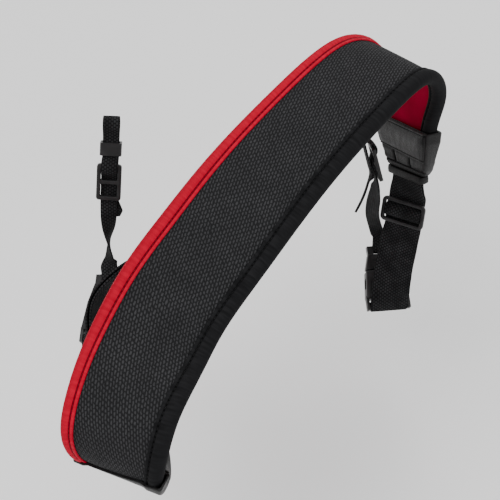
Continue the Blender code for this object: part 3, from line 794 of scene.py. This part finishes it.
def brick_weave(net, vector):
    """The band's woven face: slanting lanes of short raised floats, each lane shifted by part of a float. Its
    shade is high on the floats and low between them, and the finish uses it for painted highlight and painted
    shade.
    """
    lane_width, float_length, slant, shift, thread_pitch = 0.00175, 0.0028, 0.30, 0.38, 0.00055
    along, across = net.split(vector)
    drift = net.less(net.noise(vector, 380.0), 0.5)
    lane = net.over(net.add(across, net.times(along, slant)), lane_width)
    lane = net.add(lane, net.times(drift, 0.8))
    row = net.add(net.over(along, float_length), net.times(net.math("FLOOR", lane), shift))
    row = net.add(row, net.times(drift, 1.2))
    body = net.times(net.arch(row, 0.55), net.arch(lane, 0.8))
    height = net.add(body, net.times(net.wave(along, thread_pitch), 0.06))
    return height, net.span(body, 0.3, 1.05)


def rib_weave(net, vector):
    """The ribs and picks of narrow webbing. Its shade is high on the ribs and low between them, and the
    finish uses it for painted highlight and painted shade.
    """
    rib_width, pick_length = 0.0015, 0.0021
    along, across = net.split(vector)
    lane = net.over(across, rib_width)
    row = net.add(net.over(along, pick_length), net.times(net.math("FLOOR", lane), 0.5))
    body = net.times(net.arch(row, 0.8), net.arch(lane, 0.45))
    return body, net.span(body, 0.1, 0.9)


def fine_knit(net, vector):
    """The fine knit of the lining and the bindings."""
    along, across = net.split(vector)
    body = net.add(net.times(net.times(net.wave(along, 0.0007), net.wave(across, 0.0006)), 0.5), 0.5)
    return body, body


class Finish(Net):
    """A material, built up from its own node tree."""

    def __init__(self, name, roughness, specular):
        self.material = bpy.data.materials.new(name)
        self.material.use_nodes = True
        super().__init__(self.material.node_tree)
        self.inputs = self.tree.nodes["Principled BSDF"].inputs
        self.put(self.inputs["Roughness"], roughness)
        self.put(self.inputs["Specular IOR Level"], specular)

    def uv(self):
        return self.node("ShaderNodeUVMap", uv_map="strap").outputs[0]

    def place(self):
        return self.node("ShaderNodeTexCoord").outputs["Object"]

    def woven(self, weave):
        """The UV map, and the height and shade of a weave on it."""
        uv = self.uv()
        return uv, *self.fed("ShaderNodeGroup", (uv,), node_tree=WEAVES[weave])

    def done(self, colour, normal=None):
        self.put(self.inputs["Base Color"], colour)
        self.put(self.inputs["Normal"], normal)
        return self.material


def fabric_finish():
    net = Finish("woven fabric", 0.8, 0.1)
    uv, height, shade = net.woven("brick")
    patchy = net.span(net.noise(uv, 55.0, 3.0), 0.3, 0.75)
    # Painted shade in the gaps between the floats and painted highlight on the floats, mixed by the weave's
    # shade.
    shaded_gaps = net.mix(patchy, (0.010, 0.010, 0.0107), (0.0115, 0.0115, 0.0123))
    floats = net.mix(patchy, (0.036, 0.036, 0.0382), (0.045, 0.045, 0.0475))
    fuzz = net.noise(uv, 2600.0)
    normal = net.bump(fuzz, 0.25, 0.0001, net.bump(height, 0.9, 0.00045))
    return net.done(net.mix(shade, shaded_gaps, floats), normal)


def bound_finish(name, band, roughness, colours):
    """A binding: knit on a padded lobe, with wrinkles over its width, a stitched groove and a hem. Painted
    shade darkens the groove and the lobe's outer edge.
    """
    net = Finish(name, roughness, 0.06)
    uv, height, shade = net.woven("knit")
    along, across = net.split(uv)
    across, groove_at, stitch_pitch = net.size(across), (PAD_WIDTH / 2 - band + HEM) * MM, 0.0028
    # The groove's mask, for painted shade along the stitched groove.
    groove = net.span(net.size(net.less(across, groove_at)), 0.00025, 0.0008, 1.0, 0.0)
    cycle = net.math("FRACT", net.over(along, stitch_pitch))
    stitch = net.times(net.span(net.size(net.less(cycle, 0.5)), 0.30, 0.38, 1.0, 0.0), groove)
    wrinkle = net.noise(uv, 60.0, 3.0, (9.0, 1.1, 1.0))
    # Painted shade towards the lobe's outer edge, where it turns from the light.
    rim = net.span(across, 0.0275, 0.0332)
    cloth = net.mix(net.span(wrinkle, 0.3, 0.72), colours.middle, colours.light)
    cloth = net.mix(net.times(shade, 0.15), cloth, colours.dark)
    # The painted shade towards the outer edge, in the thread's colour.
    cloth = net.mix(net.times(rim, 0.5), cloth, colours.thread)
    # Painted shade in the stitched groove.
    cloth = net.mix(net.times(groove, 0.92), cloth, colours.dark)
    cloth = net.mix(net.times(stitch, 0.25), cloth, colours.thread)
    normal = net.bump(height, 0.35, 0.00012, net.bump(wrinkle, 0.3, 0.0006))
    return net.done(cloth, net.bump(stitch, 0.8, 0.0003, normal))


def lining_finish():
    net = Finish("lining cloth", 0.8, 0.03)
    uv, height, shade = net.woven("knit")
    patchy = net.span(net.noise(uv, 40.0, 3.0), 0.3, 0.7)
    cloth = net.mix(patchy, (0.24, 0.0004, 0.020), (0.33, 0.0006, 0.028))
    cloth = net.mix(net.times(shade, 0.2), cloth, (0.16, 0.001, 0.008))
    return net.done(cloth, net.bump(height, 0.4, 0.00012, net.bump(net.noise(uv, 90.0), 0.3, 0.0006)))


def leather_finish():
    net = Finish("grained leather", 0.42, 0.2)
    uv = net.uv()
    cells = net.fed("ShaderNodeTexVoronoi", {"Vector": uv, "Scale": 900.0}, feature="DISTANCE_TO_EDGE")
    grain = net.span(cells["Distance"], 0.0, 0.25)
    crease = net.noise(uv, 130.0, 4.0, (1.0, 2.2, 1.0))
    hide = net.mix(net.span(crease, 0.3, 0.75), (0.005, 0.0046, 0.0048), (0.015, 0.014, 0.0144))
    hide = net.mix(grain, (0.004, 0.0037, 0.0038), hide)
    # Painted shade in the sewn seams: the deeper a point lies in a seam, the darker it is.
    seam = net.node("ShaderNodeAttribute", attribute_name="seam").outputs["Fac"]
    hide = net.mix(net.span(seam, 0.15, 0.8), hide, (0.0008, 0.0007, 0.0007))
    net.put(net.inputs["Specular IOR Level"], net.span(seam, 0.1, 0.7, 0.22, 0.02))
    net.put(net.inputs["Roughness"], net.span(crease, 0.2, 0.8, 0.36, 0.56))
    return net.done(hide, net.bump(grain, 0.4, 0.00018, net.bump(crease, 0.35, 0.0006)))


def webbing_finish():
    net = Finish("ribbed webbing", 0.75, 0.08)
    uv, height, shade = net.woven("rib")
    patchy = net.span(net.noise(uv, 120.0, 3.0), 0.3, 0.75)
    ribs = net.mix(patchy, (0.012, 0.012, 0.0127), (0.030, 0.030, 0.0315))
    # Painted shade between the ribs, near black, and painted highlight on the ribs, mixed by the weave's
    # shade.
    return net.done(net.mix(shade, (0.0015, 0.0015, 0.0017), ribs), net.bump(height, 0.85, 0.0003))


def plastic_finish():
    net = Finish("moulded plastic", 0.3, 0.3)
    place = net.place()
    wear = net.span(net.noise(place, 160.0, 4.0), 0.35, 0.75)
    net.put(net.inputs["Roughness"], net.span(wear, 0.0, 1.0, 0.30, 0.42))
    resin = net.mix(wear, (0.010, 0.0095, 0.010), (0.020, 0.019, 0.020))
    return net.done(resin, net.bump(net.noise(place, 2400.0), 0.18, 0.0001))


def thread_finish(name, dark, light):
    net = Finish(name, 0.55, 0.2)
    twist = net.noise(net.place(), 3000.0)
    return net.done(net.mix(net.span(twist, 0.3, 0.7), dark, light), net.bump(twist, 0.4, 0.0001))


def floor_finish():
    net = Finish("floor", 0.9, 0.5)
    return net.done(net.mix(net.noise(net.place(), 3.0), (0.93, 0.93, 0.93), (0.96, 0.96, 0.96)))


# A binding's colours: dark also paints shade in the stitched groove, and thread paints shade towards the
# lobe's outer edge as well as colouring the stitches.
Cloth = namedtuple("Cloth", "dark middle light thread")
RED_CLOTH = Cloth(
    dark=(0.09, 0.0002, 0.004),
    middle=(0.42, 0.0006, 0.018),
    light=(0.55, 0.0012, 0.027),
    thread=(0.18, 0.0004, 0.007),
)
BLACK_CLOTH = Cloth(
    dark=(0.001, 0.001, 0.0012),
    middle=(0.006, 0.006, 0.0066),
    light=(0.013, 0.013, 0.014),
    thread=(0.01, 0.01, 0.011),
)
WEAVES = {
    "brick": weave_group("brick weave", brick_weave),
    "rib": weave_group("rib weave", rib_weave),
    "knit": weave_group("fine knit", fine_knit),
}
FINISHES = {
    "fabric": fabric_finish(),
    "lining": lining_finish(),
    "red": bound_finish("red binding cloth", RED_BAND, 0.62, RED_CLOTH),
    "black": bound_finish("black binding cloth", BLACK_BAND, 0.75, BLACK_CLOTH),
    "leather": leather_finish(),
    "webbing": webbing_finish(),
    "plastic": plastic_finish(),
    "red thread": thread_finish("red thread", (0.10, 0.0003, 0.004), (0.17, 0.0005, 0.007)),
    "black thread": thread_finish("black thread", (0.001, 0.001, 0.0012), (0.005, 0.005, 0.0055)),
}


# Stitches.


def stitch_tree():
    """Short threads at an even pitch along lines, each turned along its line."""
    net = Net(bpy.data.node_groups.new("stitches", "GeometryNodeTree"))
    net.sockets("INPUT", "Geometry", "Lines")
    net.sockets("INPUT", "Float", "Pitch", "Length", "Radius")
    net.sockets("INPUT", "Material", "Thread")
    net.sockets("OUTPUT", "Geometry", "Stitches")
    lines, pitch, length, radius, thread, _ = net.node("NodeGroupInput").outputs
    curve = net.fed("GeometryNodeMeshToCurve", {"Mesh": lines})[0]
    spots = net.fed("GeometryNodeResampleCurve", {"Curve": curve, "Length": pitch}, mode="LENGTH")[0]
    bead = net.fed("GeometryNodeMeshUVSphere", {"Segments": 8, "Rings": 6, "Radius": 1.0})[0]
    size = net.fed("ShaderNodeCombineXYZ", (radius, radius, net.times(length, 0.5)))[0]
    stitch = net.fed("GeometryNodeTransform", {"Geometry": bead, "Scale": size})[0]
    tangent = net.node("GeometryNodeInputTangent").outputs[0]
    turn = net.fed("FunctionNodeAlignRotationToVector", {"Vector": tangent}, axis="Z")[0]
    copies = {"Points": spots, "Instance": stitch, "Rotation": turn}
    whole = net.fed("GeometryNodeRealizeInstances", net.fed("GeometryNodeInstanceOnPoints", copies))[0]
    dyed = net.fed("GeometryNodeSetMaterial", {"Geometry": whole, "Material": thread})[0]
    net.fed("NodeGroupOutput", (dyed,))
    return net.tree


STITCH_TREE = stitch_tree()


def baked(piece):
    """A piece's mesh with its modifiers applied."""
    bpy.context.view_layer.update()
    return bpy.data.meshes.new_from_object(piece.evaluated_get(bpy.context.evaluated_depsgraph_get()))


def stitches(name, lines, thread, node, pitch=3.0):
    """Rows of stitches along lines of places in millimetres, as one plain mesh."""
    points, edges = [], []
    for line in lines:
        first = len(points)
        points += [tuple(place) for place in np.asarray(line) * MM]
        edges += [(first + i, first + i + 1) for i in range(len(line) - 1)]
    source = placed(name, raw_mesh(name, points, [], edges))
    modifier = source.modifiers.new("stitches", "NODES")
    modifier.node_group = STITCH_TREE
    length, radius = 0.78 * pitch * MM, 0.24 * MM
    values = {"Pitch": pitch * MM, "Length": length, "Radius": radius, "Thread": FINISHES[thread]}
    for item in STITCH_TREE.interface.items_tree:
        if item.in_out == "INPUT" and item.name in values:
            modifier[item.identifier] = values[item.name]
    mesh = baked(source)
    bpy.data.objects.remove(source)
    mesh.name = name
    mesh.shade_smooth()
    dressed(name, mesh, node)


def line_beside(run, distances, over, out):
    """Places beside a run at distances, over towards the black edge and out from the run."""
    return rings_along(run, distances, np.column_stack([over, out])[:, None])[:, 0]


def pad_stitches(run, start, stop):
    """The bindings' seams, on both faces."""
    rows = np.arange(start + 1.5, stop - 1.5, 2.0)
    shares = np.array([pad_share(max(start - at, at - stop)) for at in rows])
    depth = np.full(len(rows), HEM_TOP + 0.36)
    for colour, side, band in (("red", -1, RED_BAND), ("black", 1, BLACK_BAND)):
        over = side * (PAD_WIDTH / 2 - band + HEM) * shares
        lines = [line_beside(run, rows, over, face * depth) for face in (1, -1)]
        node = f"{colour}_binding"
        stitches(f"{node}_stitches", lines, f"{colour} thread", node)


def tab_stitches(side, run, edge, way):
    """The two seams down a leather tab and the one across its end, on both faces."""
    along = np.linspace(PATCH_LENGTH + 1.6, TAB_LENGTH - 4.6, 12)
    heights = np.array([tab_half_height(at) for at in along])
    widths = np.array([tab_half_width(at) for at in along])
    end = np.full(20, TAB_END_SEAM)
    over = np.linspace(-1, 1, 20) * (tab_half_width(TAB_END_SEAM) - 2.2)
    end_depth = np.full(20, tab_half_height(TAB_END_SEAM) - 0.45)
    lines = []
    for face in (1, -1):
        for share in TAB_SEAM_SHARES:
            lines.append(line_beside(run, edge + way * along, share * widths, face * (heights - 0.25)))
        lines.append(line_beside(run, edge + way * end, over, face * end_depth))
    node = f"leather_tab_{side}"
    stitches(f"{node}_stitches", lines, "black thread", node, 2.2)


# Slides and buckles.


def soften(piece, edge, segments):
    """Rounds a piece's sharp edges."""
    soft = piece.modifiers.new("soft edges", "BEVEL")
    soft.width, soft.segments, soft.limit_method = edge * MM, segments, "ANGLE"
    soft.angle_limit = SOFT_ANGLE
    return soft


def finish_hard(node):
    """A moulded CAD node keeps its shape and gets soft edges and the plastic finish."""
    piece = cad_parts[node]
    coated(piece.data, "plastic")
    soften(piece, 0.3, 3).harden_normals = True


def shaped(node, blank, cutters, edge, matrix):
    """Cuts a blank, softens its edges and turns it into a plain mesh that stands for a node."""
    for cutter in cutters:
        cut = blank.modifiers.new("cut", "BOOLEAN")
        cut.object, cut.operation, cut.solver = cutter, "DIFFERENCE", "EXACT"
    soften(blank, edge, 4)
    mesh = baked(blank)
    mesh.transform(matrix)
    for old in cutters + [blank]:
        bpy.data.objects.remove(old)
    mesh.name = f"{node}_moulding"
    coated(mesh, "plastic", 40)
    dressed(f"{node}_moulding", mesh, node)


def round_plate(name, width, length, thick, corner):
    """A plate with round corners, as a cutter or a blank."""
    outline = []
    for x, y, low in ((1, 1, 0), (-1, 1, 90), (-1, -1, 180), (1, -1, 270)):
        middle_x, middle_y = x * (width / 2 - corner), y * (length / 2 - corner)
        for angle in np.radians(np.linspace(low, low + 90, 9)):
            outline.append((middle_x + corner * math.cos(angle), middle_y + corner * math.sin(angle)))
    count = len(outline)
    points = [(x * MM, y * MM, z * MM) for z in (-thick / 2, thick / 2) for x, y in outline]
    faces = [(i, (i + 1) % count, (i + 1) % count + count, i + count) for i in range(count)]
    faces += [tuple(reversed(range(count))), tuple(range(count, 2 * count))]
    return placed(name, raw_mesh(name, points, faces))


def moulded_slide(node, matrix, width, length, thick, rail, corner):
    """A slide with round corners: a frame, a middle bar and two windows, all with full, soft edges."""
    blank = round_plate(node, width, length, thick, corner)
    slot = (length - 3 * rail) / 2
    cutters = [round_plate("window", width - 2 * rail, slot, 4 * thick, 0.7) for _ in range(2)]
    for cutter, end in zip(cutters, (-1, 1)):
        cutter.location = (0, end * (rail + slot) / 2 * MM, 0)
    shaped(node, blank, cutters, 0.75, matrix)


def buckle_details(side, matrix):
    """The CAD's halves of the buckle, with grip slots on the plug, and a plate and a round recess sunk into
    the socket."""
    depth = 1.6
    plug_middle, plug_face = -0.4, 3.2
    socket_middle, socket_face = -0.8, BUCKLE_THICK / 2 + 0.3
    cuts = {"buckle_plug": [], "buckle_socket": []}
    for end in (-1, 1):
        for at in (28.6, 31.4):
            slot = round_plate("slot", 13.0, 1.3, depth, 0.6)
            cuts["buckle_plug"].append((slot, at, plug_middle + end * plug_face))
        plate = round_plate("plate", 15.0, 7.5, depth, 2.5)
        recess = round_plate("recess", 5.6, 5.6, depth, 2.79)
        out = socket_middle + end * socket_face
        cuts["buckle_socket"] += [(plate, 19.3, out), (recess, 11.0, out)]
    for kind, cutters in cuts.items():
        node = f"{kind}_{side}"
        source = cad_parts[node]
        blank = placed(node, source.data.copy())
        blank.matrix_world = source.matrix_world
        for cutter, at, out in cutters:
            cutter.matrix_world = matrix @ Matrix.Translation(Vector((0, at, out)) * MM)
        shaped(node, blank, [cutter for cutter, _, _ in cutters], 0.35, blank.matrix_world.copy())


# The whole strap.


def build():
    strap = Run(LEFT_WEBBING + PAD + RIGHT_WEBBING)
    start = strap.rows[len(LEFT_WEBBING)]
    stop = strap.rows[len(LEFT_WEBBING) + len(PAD) - 1]
    pad_pieces(strap, start, stop)
    pad_stitches(strap, start, stop)
    # Each side's pad end, way along the run, bar, strand, free end, and where its adjuster and loop sit.
    sides = (
        ("left", start, -1, 0.0, Run(LEFT_STRAND), Run(LEFT_TAIL), 66.0, 86.0),
        ("right", stop, 1, strap.length, Run(RIGHT_STRAND), Run(RIGHT_TAIL), 102.0, 124.0),
    )
    for side, edge, way, bar, strand, tail, adjuster, loop in sides:
        tab = edge + way * (TAB_LENGTH + KEEPER_LENGTH)
        slide = tab + way * SLIDE_FROM_TAB
        bar_place, _, across, out = (each[0] for each in strap.frames(bar))
        bar_place = bar_place + BAR_OUT * out
        up = unit(strand.frames(0.0)[0][0] - bar_place)
        across = unit(across - (across @ up) * up)
        strap.hold(bar, 6.0, across)
        strap.hold(slide, SLIDE_LENGTH / 2 + 1.5)
        strap.hold(tab - way * KEEPER_LENGTH / 2, KEEPER_LENGTH / 2 + 2.0)
        strand.hold(0.0, 8.0, across, bar_place + BUCKLE_LENGTH * up)
        strand.hold(adjuster, ADJUSTER_LENGTH / 2 + 1.5)
        strand.hold(loop, LOOP_LENGTH / 2)
        strand.hold(strand.length, 2.5 * LUG_EYE_RADIUS)
        for make in (tab_mesh, patch_mesh, tab_stitches, keeper_mesh):
            make(side, strap, edge, way)
        wide_webbing(side, strap, tab, bar, way)
        lug_strand(side, strand, tail, adjuster)
        at = strap.matrix(slide, SLIDE_PLANE)
        sizes = SLIDE_WIDTH, SLIDE_LENGTH, SLIDE_THICK, SLIDE_RAIL
        moulded_slide(f"slide_{side}", at, *sizes, 3.2)
        at = strand.matrix(adjuster, ADJUSTER_PLANE)
        sizes = ADJUSTER_WIDTH, ADJUSTER_LENGTH, ADJUSTER_THICK, ADJUSTER_RAIL
        moulded_slide(f"adjuster_{side}", at, *sizes, 1.8)
        buckle_details(side, square_matrix(bar_place, up, np.cross(across, up)))
        finish_hard(f"loop_{side}")


def studio():
    """A pale floor, soft lights and the camera at the photo's viewing angle."""
    size, low = 4.0, -0.24
    corners = [(x * size, y * size, low) for x, y in ((-1, -1), (1, -1), (1, 1), (-1, 1))]
    floor = placed("floor", raw_mesh("floor", corners, [(0, 1, 2, 3)]))
    floor.data.materials.append(floor_finish())
    aim = Vector((0, 0, -0.05))
    for name, place, width, watts in (
        ("key", (-0.55, -0.35, 0.95), 0.9, 9.0),
        ("fill", (0.85, -0.75, 0.55), 1.0, 4.0),
        ("rim", (0.25, 0.9, 0.75), 0.8, 5.0),
    ):
        light = bpy.data.lights.new(name, "AREA")
        light.shape, light.size, light.energy = "DISK", width, watts
        lamp = placed(name, light)
        lamp.location = place
        lamp.rotation_euler = (aim - Vector(place)).to_track_quat("-Z", "Y").to_euler()
    world = bpy.data.worlds.new("studio")
    world.use_nodes = True
    backdrop = world.node_tree.nodes["Background"].inputs
    backdrop["Color"].default_value = (1, 1, 1, 1)
    backdrop["Strength"].default_value = 0.8
    bpy.context.scene.world = world

    tilt, middle, away = math.radians(50), Vector((-17, -11, -66)) * MM, 0.95
    towards = Vector((0, -math.cos(tilt), math.sin(tilt)))
    lens = bpy.data.cameras.new("camera")
    lens.lens, lens.sensor_width = 113.5, 36.0
    camera = placed("camera", lens)
    camera.location = middle + away * towards
    camera.rotation_euler = towards.to_track_quat("Z", "Y").to_euler()
    bpy.context.scene.camera = camera


studio()
build()
